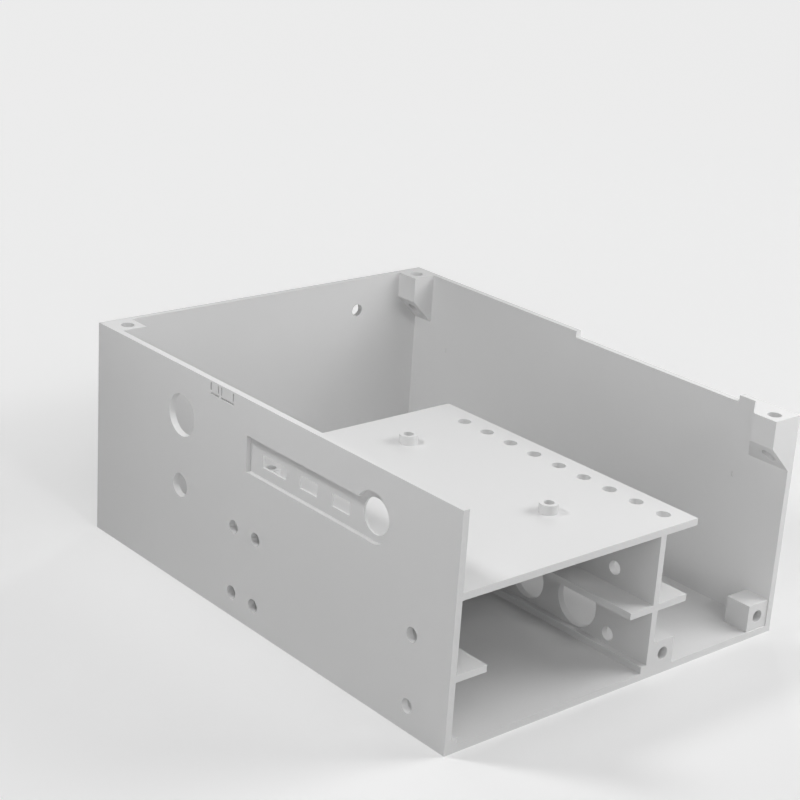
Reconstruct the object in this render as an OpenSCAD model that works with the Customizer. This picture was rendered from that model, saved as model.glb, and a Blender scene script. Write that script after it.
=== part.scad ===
// Open computer case with a raised board deck over two stacked drive bays.
// The case stands on its flat base. The port wall faces -Y, the open end faces +X
// and the top is open. The origin is the centre of the footprint on the underside.
// Every part of it is one moulded piece. All sizes are in millimetres.

/* [Shell] */
// Length from the outside of the back wall to the open end
case_l = 240; // [236:1:300]
// Width from the outside of the port wall to the outside of the side wall
case_w = 184; // [176:1:240]
// Height from the underside to the rim
case_h = 97.8; // [94:0.2:130]
// Thickness of the three outer walls
wall_t = 3; // [2.6:0.1:4]
// Thickness of the base
floor_t = 3; // [2:0.1:5]

/* [Side wall cut-out] */
// Distance from the open end to the near end of the lowered rim
dip_end = 29.4; // [18:0.2:40]
// Length of the lowered rim
dip_l = 96.6; // [40:0.2:120]
// How far the rim is lowered
dip_h = 3; // [1:0.2:8]

/* [Board deck] */
// Height of the deck's top face above the underside
deck_top = 65.3; // [62:0.1:70]
// Thickness of the deck
deck_t = 3; // [2:0.1:5]
// Deck width from the outside of the port wall
deck_w = 127.5; // [122:0.5:150]
// Number of cable tie holes along the free edge
tie_n = 9; // [2:1:9]
// Spacing of the cable tie holes
tie_pitch = 14.8; // [10:0.1:15]
// Distance from the last cable tie hole to the open end
tie_end = 10.2; // [6:0.2:14]
// Distance from the cable tie holes to the free edge
tie_inset = 9.2; // [5:0.1:12]
// Diameter of the cable tie holes
tie_d = 6; // [3:0.2:8]

/* [Board standoffs] */
// Height of the standoffs above the deck
post_h = 4; // [2:0.1:6]
// Outer diameter of the standoffs
post_d = 8; // [6.5:0.1:9]
// Diameter of the screw holes in the standoffs
post_hole = 4.4; // [2:0.1:5]
// Standoff spacing along the case
post_dx = 85.5; // [60:0.1:100]
// Standoff spacing across the case
post_dy = 72.3; // [50:0.1:90]
// Distance from the back edge of the deck to the first standoffs
post_in = 27.5; // [21.5:0.1:39.5]
// Distance from the outside of the port wall to the first standoffs
post_y = 8; // [7.6:0.1:12]
// Thickness of the board that rests on the standoffs
board_t = 1.6; // [1:0.1:2.4]

/* [Board ports] */
// Depth of the recess round the ports
recess_deep = 2; // [0.5:0.1:2.2]
// Height of the recess
recess_h = 15.5; // [12:0.1:18]
// How far the recess starts below the top of the board
recess_drop = 3.9; // [2:0.1:4.5]
// Distance from the first standoffs back to the end of the recess
recess_back = 6; // [2:0.1:12]
// Height of the port windows
window_h = 5.4; // [3:0.1:8]
// Gap between the top of the board and the port windows
window_sill = 0.5; // [0:0.1:2]
// Start of each port window past the first standoffs
window_x = [2.5, 26.9, 47];
// Length of each port window
window_l = [15.4, 11, 11];
// Distance of the round port past the first standoffs
jack_x = 73.5; // [66:0.1:80]
// Height of the round port's centre above the top of the board
jack_rise = 6.1; // [5:0.1:7]
// Diameter of the round port's opening
jack_d = 14.7; // [10:0.1:16]
// Diameter of the recess round the round port
jack_recess_d = 20.6; // [18:0.1:24]

/* [Port wall openings] */
// Distance from the outside of the back wall to the two round openings
button_x = 65.7; // [40:0.1:74]
// Diameter of the upper opening
button_d = 18.5; // [10:0.1:22]
// Distance from the rim to the centre of the upper opening
button_drop = 21.7; // [16:0.1:24]
// Diameter of the lower opening
lamp_d = 10.4; // [4:0.1:14]
// Distance between the centres of the two openings
lamp_drop = 31.6; // [24:0.1:36]

/* [Rim tabs] */
// Centre of each tab along the port wall, from the outside of the back wall
tab_x = [88.85, 97.7];
// Width of each tab between its side slits
tab_w = [5.1, 8.2];
// Height of the tabs below the rim
tab_h = 5.4; // [3:0.1:7]
// Width of the slits that outline the tabs
slit_w = 0.8; // [0.4:0.1:1]
// Depth of the slits
slit_deep = 0.8; // [0.3:0.1:1.6]

/* [Drive bays] */
// Length of the drive bays and of the deck over them, back from the open end
bay_l = 149.5; // [144:0.5:160]
// Inside width of the drive bays
bay_w = 103.8; // [98:0.1:105]
// Thickness of the divider beside the bays
divider_t = 3; // [2:0.1:4]
// Height of the rails' top face above the underside
rail_top = 32.5; // [28:0.1:36]
// Thickness of the rails
rail_t = 3; // [2:0.1:5]
// Reach of the rail on the port wall
rail_port = 15; // [6:0.5:24]
// Reach of the rail on the bay side of the divider
rail_bay = 12.9; // [6:0.1:24]
// Reach of the rail on the far side of the divider
rail_far = 16.4; // [6:0.1:18]
// Width of the skids along the foot of the bays
skid_w = 3; // [1:0.1:5]
// Height of the skids above the base
skid_h = 3; // [1:0.1:5]
// Drive screws past the back end of the bays
drive_screw_x = [14.5, 29.5, 127.3];
// Height of the drive screws above the surface that the drive stands on
drive_screw_rise = 7.55; // [5:0.05:12]
// Cable openings in the divider, distance from the open end
cable_x = [40.6, 69.7];
// Diameter of each cable opening
cable_d = [21.8, 18.5];
// Height of the centre of each cable opening above the base
cable_rise = [14.5, 13.5];

/* [Screw blocks] */
// Side of the screw blocks beyond the wall
block = 12; // [9:0.1:16]
// Height of the upright face of the rim blocks
block_h = 12; // [6:0.1:16]
// Extra length of the open end's rim block where it meets the side wall
block_flare = 9; // [0:0.5:12]
// Diameter of the screw holes through walls and rim blocks
screw_d = 6; // [3:0.1:7]
// Diameter of the screw holes in the blocks at the open end
end_screw_d = 5.5; // [3:0.1:7]
// How far the block in the corner stands back from the open end
foot_set = 0.5; // [0:0.1:2]

/* [Wall holes] */
// Distance across the case from the port wall to the hole in the back wall
back_hole_y = 143.4; // [30:0.1:150]
// Distance from the rim to the hole in the back wall
back_hole_drop = 15.6; // [8:0.1:24]
// Distance of each nick in the side wall from its end of the case
nick_end = 27.9; // [18:0.1:29]
// Distance from the rim to the centre of the nicks
nick_drop = 35.1; // [24:0.1:40]
// Width of the nicks
nick_w = 1; // [0.4:0.1:2]
// Height of the nicks
nick_h = 2.4; // [1:0.1:4]
// Depth of the nicks
nick_deep = 0.3; // [0.1:0.1:1.6]

/* [Hidden] */
// how far a cut runs past the face that it leaves
past = 1;
// facets of round holes and posts
fine = 48;
inner_w = case_w - 2 * wall_t;
corner = wall_t + block;
deck_under = deck_top - deck_t;
deck_gap = case_l - bay_l;
post_x = deck_gap + post_in;
board_top = deck_top + post_h + board_t;
divider_y = wall_t + bay_w;
rail_under = rail_top - rail_t;
jack_z = board_top + jack_rise;
recess_z = board_top - recess_drop;
screw_seats = [floor_t, rail_top];
post_xs = [post_x, post_x + post_dx];
post_ys = [post_y, post_y + post_dy];
side_in = case_w - wall_t;
rim_tone = "gainsboro";

// A hole of diameter d along Y, through material from y to y + t
module hole_y(x, y, z, d, t)
{
    translate([x, y - past, z])
        rotate([-90, 0, 0])
            cylinder(d = d, h = t + 2 * past, $fn = fine);
}

// A hole of diameter d along X, through material from x to x + t
module hole_x(x, y, z, d, t)
{
    translate([x - past, y, z])
        rotate([0, 90, 0])
            cylinder(d = d, h = t + 2 * past, $fn = fine);
}

// A hole of diameter d along Z, through material from z to z + t
module hole_z(x, y, z, d, t)
{
    translate([x, y, z - past])
        cylinder(d = d, h = t + 2 * past, $fn = fine);
}

// Base with the back wall, the port wall and the side wall
module tray()
{
    color(rim_tone)
        difference()
        {
            cube([case_l, case_w, case_h]);
            translate([wall_t, wall_t, floor_t])
                cube([case_l, inner_w, case_h]);
        }
}

// Screw block under the rim, from the outer corner of the case inwards along +X for
// the given reach and along +Y, with its underside sloped at 45 degrees towards the
// wall that lies along X
module rim_block(reach)
{
    color(rim_tone)
        translate([reach, 0, 0])
            rotate([90, 0, -90])
                linear_extrude(height = reach)
                    polygon([
                        [0, case_h],
                        [-corner, case_h],
                        [-corner, case_h - block_h],
                        [-wall_t, case_h - block_h - block],
                        [0, case_h - block_h - block]
                    ]);
}

// Rim block for the open end. No wall stands there, so it is shorter by that wall and
// ends flush, and its back face slants so that it is longest where it meets the wall.
module end_rim_block()
{
    reach = block + block_flare;
    intersection()
    {
        rim_block(reach);
        linear_extrude(height = case_h)
            polygon([[0, 0], [reach, 0], [reach, wall_t], [block, corner], [0, corner]]);
    }
}

// The three rim blocks: two square ones at the back and the slanted one
module rim_blocks()
{
    rim_block(corner);
    translate([0, case_w, 0])
        mirror([0, 1, 0])
            rim_block(corner);
    translate([case_l, case_w, 0])
        mirror([1, 0, 0])
            mirror([0, 1, 0])
                end_rim_block();
}

// Deck that carries the board, with its four hollow standoffs
module deck()
{
    color(rim_tone)
        translate([deck_gap, wall_t / 2, deck_under])
            cube([bay_l, deck_w - wall_t / 2, deck_t]);
    color(rim_tone)
        for (px = post_xs, py = post_ys)
            translate([px, py, deck_under])
                cylinder(d = post_d, h = deck_t + post_h, $fn = fine);
}

// Divider between the drive bays and the cable channel
module divider()
{
    color(rim_tone)
        translate([deck_gap, divider_y, floor_t / 2])
            cube([bay_l, divider_t, deck_under + deck_t / 2 - floor_t / 2]);
}

// Rails that carry the upper drive: one on the port wall, one through the divider
module rails()
{
    rail_y = divider_y - rail_bay;
    color(rim_tone)
    {
        translate([deck_gap, wall_t / 2, rail_under])
            cube([bay_l, wall_t / 2 + rail_port, rail_t]);
        translate([deck_gap, rail_y, rail_under])
            cube([bay_l, rail_bay + divider_t + rail_far, rail_t]);
    }
}

// Low skids in the two lower corners of the bays
module skids()
{
    color(rim_tone)
    {
        translate([deck_gap, wall_t / 2, floor_t / 2])
            cube([bay_l, wall_t / 2 + skid_w, floor_t / 2 + skid_h]);
        translate([deck_gap, divider_y - skid_w, floor_t / 2])
            cube([bay_l, skid_w + divider_t / 2, floor_t / 2 + skid_h]);
    }
}

// Screw blocks on the base at the open end: one beside the divider, one in the corner
module foot_blocks()
{
    rise = floor_t / 2 + block;
    color(rim_tone)
    {
        translate([case_l - block, divider_y + divider_t / 2, floor_t / 2])
            cube([block, divider_t / 2 + block, rise]);
        translate([case_l - foot_set - block, side_in - block, floor_t / 2])
            cube([block, block + wall_t / 2, rise]);
    }
}

// Recess round the ports with its windows and its round end
module port_cuts()
{
    x0 = post_x - recess_back;
    x1 = post_x + jack_x;
    translate([x0, -past, recess_z])
        cube([x1 - x0, recess_deep + past, recess_h]);
    translate([x1, -past, jack_z])
        rotate([-90, 0, 0])
            cylinder(d = jack_recess_d, h = recess_deep + past, $fn = fine);
    hole_y(x1, 0, jack_z, jack_d, wall_t);
    for (i = [0 : len(window_x) - 1])
        translate([post_x + window_x[i], -past, board_top + window_sill])
            cube([window_l[i], wall_t + 2 * past, window_h]);
}

// Slits that outline the two small tabs under the rim
module tab_cuts()
{
    side_h = tab_h - 2 * slit_w - slit_w / 2;
    for (i = [0 : len(tab_x) - 1])
    {
        for (s = [-1, 1])
            translate([tab_x[i] + s * tab_w[i] / 2 - slit_w / 2, -past, case_h - slit_w - side_h])
                cube([slit_w, slit_deep + past, side_h]);
        translate([tab_x[i] - tab_w[i] / 2 - slit_w / 2, -past, case_h - tab_h - slit_w / 2])
            cube([tab_w[i] + slit_w, slit_deep + past, slit_w]);
    }
}

// Every hole and opening in the outer walls
module wall_cuts()
{
    hole_y(button_x, 0, case_h - button_drop, button_d, wall_t);
    hole_y(button_x, 0, case_h - button_drop - lamp_drop, lamp_d, wall_t);
    hole_x(0, back_hole_y, case_h - back_hole_drop, screw_d, wall_t);
    // the lowered rim, which a rim block follows wherever it reaches that far
    translate([case_l - dip_end - dip_l, side_in - block - past, case_h - dip_h])
        cube([dip_l, block + wall_t + 2 * past, dip_h + past]);
    for (nx = [nick_end, case_l - nick_end])
        translate([nx - nick_w / 2, side_in - past, case_h - nick_drop - nick_h / 2])
            cube([nick_w, nick_deep + past, nick_h]);
    port_cuts();
    tab_cuts();
}

// Screw holes through both sides of the drive bays
module drive_screws()
{
    for (sx = drive_screw_x, seat = screw_seats)
    {
        hole_y(deck_gap + sx, 0, seat + drive_screw_rise, screw_d, wall_t);
        hole_y(deck_gap + sx, divider_y, seat + drive_screw_rise, screw_d, divider_t);
    }
}

// Screw holes of the blocks, the deck and the standoffs, and the cable openings
module inner_holes()
{
    mid = wall_t + block / 2;
    depth = block_h + block;
    for (p = [[mid, mid], [mid, case_w - mid], [case_l - block / 2, case_w - mid]])
        hole_z(p[0], p[1], case_h - depth, screw_d, depth);
    foot_z = floor_t + block / 2;
    hole_x(case_l - block, divider_y + divider_t + block / 2, foot_z, end_screw_d, block);
    hole_x(case_l - foot_set - block, side_in - block / 2, foot_z, end_screw_d, block);
    for (i = [0 : tie_n - 1])
        hole_z(case_l - tie_end - i * tie_pitch, deck_w - tie_inset, deck_under, tie_d, deck_t);
    for (px = post_xs, py = post_ys)
        hole_z(px, py, deck_under, post_hole, deck_t + post_h);
    for (i = [0 : len(cable_x) - 1])
        hole_y(case_l - cable_x[i], divider_y, floor_t + cable_rise[i], cable_d[i], divider_t);
}

// The whole case
module case_body()
{
    translate([-case_l / 2, -case_w / 2, 0])
        difference()
        {
            union()
            {
                tray();
                rim_blocks();
                deck();
                divider();
                rails();
                skids();
                foot_blocks();
            }
            wall_cuts();
            drive_screws();
            inner_holes();
        }
}

case_body();
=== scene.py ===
"""Studio picture of an open computer case moulded in one piece of pale grey plastic.

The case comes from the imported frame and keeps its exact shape. This script gives it the
plastic's finish, stands it on a pale floor, lights it and places the camera.
"""

import functools
import logging
import math
from dataclasses import dataclass, field
from enum import Enum

import bpy
import numpy as np
from mathutils import Matrix, Vector

LOG = logging.getLogger("case")
MM = 0.001
# brightness that the bare floor and the room's far wall share
BACKGROUND = 0.8348
# point inside the case that every lamp faces
LAMP_AIM = Vector((0.0, 0.0, 0.05))
# points that stand for one lamp's round face on the floor
SPOTS_PER_LAMP = 5
GOLDEN_ANGLE = math.pi * (3 - math.sqrt(5))

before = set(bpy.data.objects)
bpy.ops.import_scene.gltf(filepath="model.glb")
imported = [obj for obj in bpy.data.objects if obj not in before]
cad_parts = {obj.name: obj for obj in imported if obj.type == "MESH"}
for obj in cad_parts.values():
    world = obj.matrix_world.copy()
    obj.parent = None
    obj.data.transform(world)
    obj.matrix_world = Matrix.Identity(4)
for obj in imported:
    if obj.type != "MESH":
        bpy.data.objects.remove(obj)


class Skin(str, Enum):
    """What the shared grain group puts out."""

    HEIGHT = "Height"
    MOTTLE = "Mottle"


class SkinSize(str, Enum):
    """Sizes that the shared grain group takes in, in metres."""

    GRAIN = "Grain Size"
    MOTTLE = "Mottle Size"


def grey(level: float) -> tuple[float, float, float, float]:
    """Returns the neutral colour of a linear level."""
    return (level, level, level, 1.0)


def new_node(tree: bpy.types.NodeTree, kind: str, **settings: object) -> bpy.types.Node:
    """Adds a node to a tree.

    Args:
        tree: node tree that gets the node.
        kind: Blender's name of the node type.
        settings: properties to set on the node.

    Returns:
        The new node.
    """
    node = tree.nodes.new(kind)
    for name, value in settings.items():
        setattr(node, name, value)
    return node


def work_out(tree: bpy.types.NodeTree, operation: str, *terms: object) -> bpy.types.NodeSocket:
    """Adds a Math node and feeds its inputs.

    Args:
        tree: node tree that gets the node.
        operation: Blender's name of the operation.
        terms: one socket or number for each input.

    Returns:
        The result's socket.
    """
    node = new_node(tree, "ShaderNodeMath", operation=operation)
    for socket, term in zip(node.inputs, terms):
        if isinstance(term, bpy.types.NodeSocket):
            tree.links.new(term, socket)
        else:
            socket.default_value = term
    return node.outputs["Value"]


class MouldedGrain:
    """Shader group for the fine skin of moulded plastic: a height and a faint mottle."""

    NAME = "moulded grain"
    # each size, the noise that it scales and the noise's octaves of detail
    LAYERS = (
        (SkinSize.GRAIN, Skin.HEIGHT, 2.0),
        (SkinSize.MOTTLE, Skin.MOTTLE, 3.0),
    )

    @classmethod
    def group(cls) -> bpy.types.NodeTree:
        """Builds the group once.

        Height is a fine noise for a Bump node, and Mottle a slow noise from 0 to 1 for tone
        and gloss. Both lie in Object coordinates and are scaled by 1 / size.

        Returns:
            The node group.
        """
        tree = bpy.data.node_groups.get(cls.NAME)
        if tree is not None:
            return tree
        tree = bpy.data.node_groups.new(cls.NAME, "ShaderNodeTree")
        for size, output, _ in cls.LAYERS:
            tree.interface.new_socket(size.value, in_out="INPUT", socket_type="NodeSocketFloat")
            tree.interface.new_socket(output.value, in_out="OUTPUT", socket_type="NodeSocketFloat")
        inputs = new_node(tree, "NodeGroupInput")
        outputs = new_node(tree, "NodeGroupOutput")
        coords = new_node(tree, "ShaderNodeTexCoord")
        for size, output, detail in cls.LAYERS:
            noise = new_node(tree, "ShaderNodeTexNoise")
            noise.inputs["Detail"].default_value = detail
            scale = work_out(tree, "DIVIDE", 1.0, inputs.outputs[size.value])
            tree.links.new(coords.outputs["Object"], noise.inputs["Vector"])
            tree.links.new(scale, noise.inputs["Scale"])
            tree.links.new(noise.outputs["Fac"], outputs.inputs[output.value])
        return tree


@dataclass(frozen=True)
class MattePlastic:
    """Moulded plastic without paint: pale, matte, with a fine skin and a faint mottle."""

    name: str = "matte case plastic"
    level: float = 0.72
    mottle_depth: float = 0.010
    roughness: float = 0.62
    roughness_spread: float = 0.05
    specular: float = 0.30
    grain_size: float = 0.35 * MM
    grain_depth: float = 0.010 * MM
    mottle_size: float = 30 * MM

    def material(self) -> bpy.types.Material:
        """Builds the material from the shared grain group.

        Returns:
            The material.
        """
        material = bpy.data.materials.new(self.name)
        material.use_nodes = True
        tree = material.node_tree
        shader = tree.nodes["Principled BSDF"]
        grain = new_node(tree, "ShaderNodeGroup", node_tree=MouldedGrain.group())
        grain.inputs[SkinSize.GRAIN.value].default_value = self.grain_size
        grain.inputs[SkinSize.MOTTLE.value].default_value = self.mottle_size
        tone = new_node(tree, "ShaderNodeMix", data_type="RGBA")
        tone.inputs["A"].default_value = grey(self.level - self.mottle_depth)
        tone.inputs["B"].default_value = grey(self.level + self.mottle_depth)
        gloss = new_node(tree, "ShaderNodeMapRange")
        gloss.inputs["To Min"].default_value = self.roughness - self.roughness_spread
        gloss.inputs["To Max"].default_value = self.roughness + self.roughness_spread
        bump = new_node(tree, "ShaderNodeBump")
        bump.inputs["Distance"].default_value = self.grain_depth
        tree.links.new(grain.outputs[Skin.MOTTLE.value], tone.inputs["Factor"])
        tree.links.new(grain.outputs[Skin.MOTTLE.value], gloss.inputs["Value"])
        tree.links.new(grain.outputs[Skin.HEIGHT.value], bump.inputs["Height"])
        tree.links.new(tone.outputs["Result"], shader.inputs["Base Color"])
        tree.links.new(gloss.outputs["Result"], shader.inputs["Roughness"])
        tree.links.new(bump.outputs["Normal"], shader.inputs["Normal"])
        shader.inputs["Specular IOR Level"].default_value = self.specular
        return material


@dataclass(frozen=True)
class Lamp:
    """A round soft lamp that faces the middle of the case and stays out of the picture.

    The side is an angle about +Z from +X, and the height is an angle above the floor, both
    in degrees. The power is the brightness that the lamp gives a white sheet that stands at
    the aim and faces it.
    """

    name: str
    side: float
    height: float
    distance: float
    width: float
    power: float

    @property
    def towards(self) -> Vector:
        """Returns the direction from the aim to the lamp."""
        side, height = math.radians(self.side), math.radians(self.height)
        level = math.cos(height)
        return Vector((level * math.cos(side), level * math.sin(side), math.sin(height)))

    @property
    def place(self) -> Vector:
        """Returns the middle of the lamp."""
        return LAMP_AIM + self.towards * self.distance

    def spots(self) -> np.ndarray:
        """Spreads points over the lamp's round face, each for an equal share of it.

        Point i of n lies at radius R sqrt((i + 1/2) / n) and at i golden angles.

        Returns:
            The points, one row each.
        """
        index = np.arange(SPOTS_PER_LAMP)
        radius = self.width / 2 * np.sqrt((index + 0.5) / SPOTS_PER_LAMP)
        angle = index * GOLDEN_ANGLE
        across = Vector((0, 0, 1)).cross(self.towards).normalized()
        upwards = self.towards.cross(across)
        return (
            np.array(self.place)
            + np.outer(radius * np.cos(angle), across)
            + np.outer(radius * np.sin(angle), upwards)
        )

    def hang(self) -> bpy.types.Object:
        """Makes the lamp.

        A round lamp of w watts gives a white sheet that faces it at distance d a brightness
        of w / (pi d)^2, which is turned round here.

        Returns:
            The lamp's object.
        """
        data = bpy.data.lights.new(self.name, "AREA")
        data.shape = "DISK"
        data.size = self.width
        data.energy = self.power * (math.pi * self.distance) ** 2
        lamp = bpy.data.objects.new(self.name, data)
        lamp.location = self.place
        lamp.rotation_euler = self.towards.to_track_quat("Z", "Y").to_euler()
        lamp.visible_camera = False
        bpy.context.collection.objects.link(lamp)
        return lamp


LAMPS = (
    Lamp("key lamp", side=253.6, height=51.1, distance=0.39, width=0.08, power=0.358),
    Lamp("back lamp", side=62.4, height=27.1, distance=0.92, width=0.59, power=0.267),
    Lamp("rim lamp", side=42.0, height=35.3, distance=0.37, width=0.20, power=0.328),
    Lamp("end lamp", side=353.7, height=34.9, distance=1.78, width=0.28, power=0.109),
    Lamp("fill lamp", side=312.9, height=28.6, distance=0.56, width=0.40, power=0.199),
    Lamp("far lamp", side=126.8, height=24.4, distance=0.93, width=0.10, power=0.101),
    Lamp("top lamp", side=146.9, height=85.8, distance=4.43, width=2.50, power=0.134),
)


def viewer_mask(tree: bpy.types.NodeTree) -> bpy.types.NodeSocket:
    """Adds nodes that tell the rays of the camera and of reflections from the light's own.

    Args:
        tree: node tree that gets the nodes.

    Returns:
        A socket that is 1 for camera, glossy and transmission rays, and 0 for others.
    """
    path = new_node(tree, "ShaderNodeLightPath").outputs
    seen = work_out(tree, "MAXIMUM", path["Is Camera Ray"], path["Is Glossy Ray"])
    return work_out(tree, "MAXIMUM", seen, path["Is Transmission Ray"])


@dataclass(frozen=True)
class FloorPaint:
    """Flat pale finish of the studio floor.

    The lamps stand near, so a plain floor would fade away from them. The paint adds, for
    the viewer alone, what the bare floor lacks of the background at each point, so the
    bare floor is level and only the case's shadows show on it.
    """

    name: str = "studio floor"
    level: float = 0.83

    def lamp_share(self, tree: bpy.types.NodeTree, spot: Vector, lamp: Lamp) -> bpy.types.NodeSocket:
        """Adds nodes for the brightness that one spot of a lamp gives the bare floor.

        It is level * power * distance^2 * z * max(0, r . f) / |r|^4, shared among the spots,
        with r from the floor's point to the spot, z the spot's height and f the way from the
        aim to the lamp.

        Args:
            tree: the floor's node tree.
            spot: a point on the lamp.
            lamp: the lamp.

        Returns:
            The brightness socket.
        """
        place = new_node(tree, "ShaderNodeNewGeometry").outputs["Position"]
        ray = new_node(tree, "ShaderNodeVectorMath", operation="SUBTRACT")
        ray.inputs[0].default_value = spot
        tree.links.new(place, ray.inputs[1])
        facing = new_node(tree, "ShaderNodeVectorMath", operation="DOT_PRODUCT")
        facing.inputs[1].default_value = lamp.towards
        tree.links.new(ray.outputs["Vector"], facing.inputs[0])
        square = new_node(tree, "ShaderNodeVectorMath", operation="DOT_PRODUCT")
        for socket in square.inputs[:2]:
            tree.links.new(ray.outputs["Vector"], socket)
        strength = self.level * lamp.power * lamp.distance ** 2 * spot.z / SPOTS_PER_LAMP
        front = work_out(tree, "MAXIMUM", facing.outputs["Value"], 0.0)
        fourth = work_out(tree, "POWER", square.outputs["Value"], 2.0)
        return work_out(tree, "MULTIPLY", work_out(tree, "DIVIDE", front, fourth), strength)

    def material(self, lamps: tuple[Lamp, ...], room_level: float) -> bpy.types.Material:
        """Builds the material.

        Args:
            lamps: the lamps over the floor.
            room_level: brightness of the room's even light.

        Returns:
            The material.
        """
        material = bpy.data.materials.new(self.name)
        material.use_nodes = True
        tree = material.node_tree
        shader = tree.nodes["Principled BSDF"]
        shader.inputs["Base Color"].default_value = grey(self.level)
        shader.inputs["Roughness"].default_value = 1.0
        shader.inputs["Specular IOR Level"].default_value = 0.0
        shader.inputs["Emission Color"].default_value = grey(1.0)
        shares = [self.lamp_share(tree, Vector(spot), lamp) for lamp in lamps for spot in lamp.spots()]
        lit = functools.reduce(functools.partial(work_out, tree, "ADD"), shares)
        lacking = work_out(tree, "SUBTRACT", BACKGROUND - self.level * room_level, lit)
        fill = work_out(tree, "MAXIMUM", lacking, 0.0)
        glow = work_out(tree, "MULTIPLY", fill, viewer_mask(tree))
        tree.links.new(glow, shader.inputs["Emission Strength"])
        return material


@dataclass
class Case:
    """The moulded case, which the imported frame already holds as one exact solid."""

    node: str = "case_body"
    finish: MattePlastic = field(default_factory=MattePlastic)

    def dress(self) -> bpy.types.Object:
        """Gives the case its finish.

        Returns:
            The case's object.
        """
        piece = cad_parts[self.node]
        piece.data.materials.clear()
        piece.data.materials.append(self.finish.material())
        return piece


@dataclass
class Studio:
    """Pale floor, lamps and the light of the room."""

    floor_side: float = 14.0
    room_level: float = 0.039
    floor: FloorPaint = field(default_factory=FloorPaint)
    lamps: tuple[Lamp, ...] = LAMPS

    def lay_floor(self) -> bpy.types.Object:
        """Lays a square floor under the case.

        Returns:
            The floor's object.
        """
        half = self.floor_side / 2
        outline = [(-half, -half, 0), (half, -half, 0), (half, half, 0), (-half, half, 0)]
        mesh = bpy.data.meshes.new("floor")
        mesh.from_pydata(outline, [], [(0, 1, 2, 3)])
        mesh.materials.append(self.floor.material(self.lamps, self.room_level))
        piece = bpy.data.objects.new("floor", mesh)
        bpy.context.collection.objects.link(piece)
        return piece

    def light_room(self) -> None:
        """Gives the room an even light, and shows the viewer the background's brightness."""
        world = bpy.data.worlds.new("room")
        world.use_nodes = True
        tree = world.node_tree
        tone = new_node(tree, "ShaderNodeMix", data_type="RGBA")
        tone.inputs["A"].default_value = grey(self.room_level)
        tone.inputs["B"].default_value = grey(BACKGROUND)
        tree.links.new(viewer_mask(tree), tone.inputs["Factor"])
        tree.links.new(tone.outputs["Result"], tree.nodes["Background"].inputs["Color"])
        bpy.context.scene.world = world

    def build(self) -> None:
        """Lays the floor, lights the room and hangs the lamps."""
        self.lay_floor()
        self.light_room()
        for lamp in self.lamps:
            lamp.hang()
            LOG.info("hung %s", lamp.name)


@dataclass
class Camera:
    """Camera of the picture, in front of the corner between the port wall and the open end.

    The turn is an angle about +Z from +Y, down is the tilt below the horizon, and roll is
    the turn about the line of sight, all in degrees. The lens and the film are in
    millimetres.
    """

    place: tuple[float, float, float] = (0.5564, -0.50705, 0.35675)
    turn: float = 48.783
    down: float = 20.056
    roll: float = 3.854
    focal_length: float = 84.86
    film_width: float = 36.0
    nearest: float = 0.01
    furthest: float = 100.0

    def set_up(self) -> bpy.types.Object:
        """Makes the camera and gives it to the scene.

        Returns:
            The camera's object.
        """
        data = bpy.data.cameras.new("camera")
        data.sensor_width = self.film_width
        data.lens = self.focal_length
        data.clip_start = self.nearest
        data.clip_end = self.furthest
        camera = bpy.data.objects.new("camera", data)
        camera.matrix_world = (
            Matrix.Translation(self.place)
            @ Matrix.Rotation(math.radians(self.turn), 4, "Z")
            @ Matrix.Rotation(math.radians(90 - self.down), 4, "X")
            @ Matrix.Rotation(math.radians(self.roll), 4, "Z")
        )
        bpy.context.collection.objects.link(camera)
        bpy.context.scene.camera = camera
        return camera


def main() -> None:
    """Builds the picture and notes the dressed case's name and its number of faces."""
    logging.basicConfig(level=logging.INFO)
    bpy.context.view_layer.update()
    bpy.context.scene.view_settings.view_transform = "Standard"
    Camera().set_up()
    Studio().build()
    piece = Case().dress()
    LOG.info("dressed %s with %d faces", piece.name, len(piece.data.polygons))


if __name__ == "__main__":
    main()
